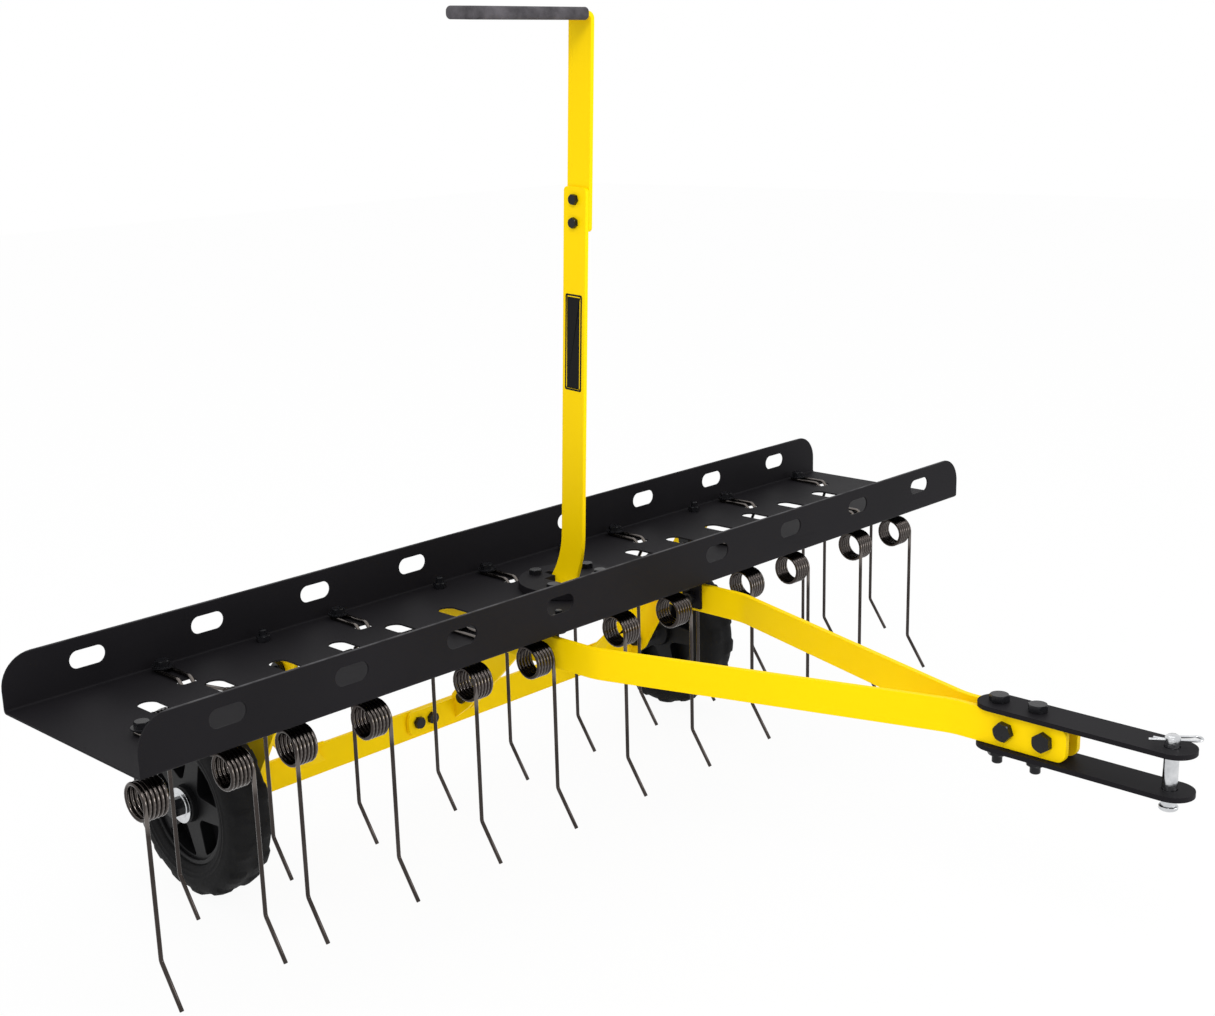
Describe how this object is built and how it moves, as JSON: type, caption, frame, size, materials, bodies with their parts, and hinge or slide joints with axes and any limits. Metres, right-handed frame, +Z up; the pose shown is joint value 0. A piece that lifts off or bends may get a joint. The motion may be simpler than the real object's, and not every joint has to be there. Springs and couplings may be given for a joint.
{
  "type": "tow-behind dethatcher",
  "caption": "Wheeled steel tray with staggered rows of coil spring tines, a V draw bar with clevis hitch, and a hand lever that swings the wheel frame to raise or lower the tines.",
  "frame": {"origin": "on the ground under the middle of the outline, wheels down", "axes": "+Z up, the hitch towards -Y, the tray's length along X, the lever's grip towards -X"},
  "size_m": [1.2192, 1.016, 0.9017],
  "materials": {
    "yellow_paint": "semi-gloss yellow powder coat",
    "black_paint": "satin black powder coat",
    "spring_wire": "oil-tempered dark spring wire",
    "black_hardware": "black fasteners",
    "zinc_plate": "bright zinc plate",
    "grip_foam": "matt dark grip",
    "tyre_rubber": "matt black rubber",
    "rim_plastic": "black moulded plastic"
  },
  "bodies": {
    "tray_unit": {"tray": "black_paint", "tine_front_1": "spring_wire", "tine_front_2": "spring_wire", "tine_front_3": "spring_wire", "tine_front_4": "spring_wire", "tine_front_5": "spring_wire", "tine_front_6": "spring_wire", "tine_rear_1": "spring_wire", "tine_rear_2": "spring_wire", "tine_rear_3": "spring_wire", "tine_rear_4": "spring_wire", "tine_rear_5": "spring_wire", "tine_rear_6": "spring_wire", "slot_plate": "black_paint", "pivot_bracket_left": "yellow_paint", "pivot_bracket_right": "yellow_paint", "draw_arm_left": "yellow_paint", "draw_arm_right": "yellow_paint", "pivot_bolt_left": "black_hardware", "pivot_bolt_right": "black_hardware", "hitch_bolt_1": "black_hardware", "hitch_bolt_2": "black_hardware", "side_bolt_1": "black_hardware", "side_bolt_2": "black_hardware", "arm_angle_left_front": "black_paint", "arm_angle_left_rear": "black_paint", "arm_angle_right_front": "black_paint", "arm_angle_right_rear": "black_paint", "hitch_plate_top": "black_paint", "hitch_plate_bottom": "black_paint"},
    "lift": {"lift_frame": "yellow_paint", "lever_lower": "yellow_paint", "lever_upper": "yellow_paint", "lever_grip": "grip_foam", "lever_bracket": "yellow_paint", "lever_joint_bolt_1": "black_hardware", "lever_joint_bolt_2": "black_hardware", "bracket_bolt_1": "black_hardware", "bracket_bolt_2": "black_hardware", "lever_foot_bolt_1": "black_hardware", "lever_foot_bolt_2": "black_hardware", "axle_bolt_left": "black_hardware", "axle_bolt_right": "black_hardware", "axle_washer_left": "zinc_plate", "axle_washer_right": "zinc_plate", "axle_spacer_left": "zinc_plate", "axle_spacer_right": "zinc_plate"},
    "wheel_left": {"tyre_left": "tyre_rubber", "rim_left": "rim_plastic"},
    "wheel_right": {"tyre_right": "tyre_rubber", "rim_right": "rim_plastic"},
    "pin": {"hitch_pin": "zinc_plate", "hitch_clip": "zinc_plate"}
  },
  "joints": [
    {"name": "lift_hinge", "type": "hinge", "parent": "tray_unit", "child": "lift", "pos_m": [0, 0.312, 0.257], "axis": [1, 0, 0], "range_deg": [0, 22]},
    {"name": "wheel_left_spin", "type": "hinge", "parent": "lift", "child": "wheel_left", "pos_m": [-0.3736, 0.404, 0.104], "axis": [1, 0, 0], "continuous": true},
    {"name": "wheel_right_spin", "type": "hinge", "parent": "lift", "child": "wheel_right", "pos_m": [0.3736, 0.404, 0.104], "axis": [1, 0, 0], "continuous": true},
    {"name": "pin_turn", "type": "hinge", "parent": "tray_unit", "child": "pin", "pos_m": [0, -0.487, 0.287], "axis": [0, 0, 1], "continuous": true}
  ]
}
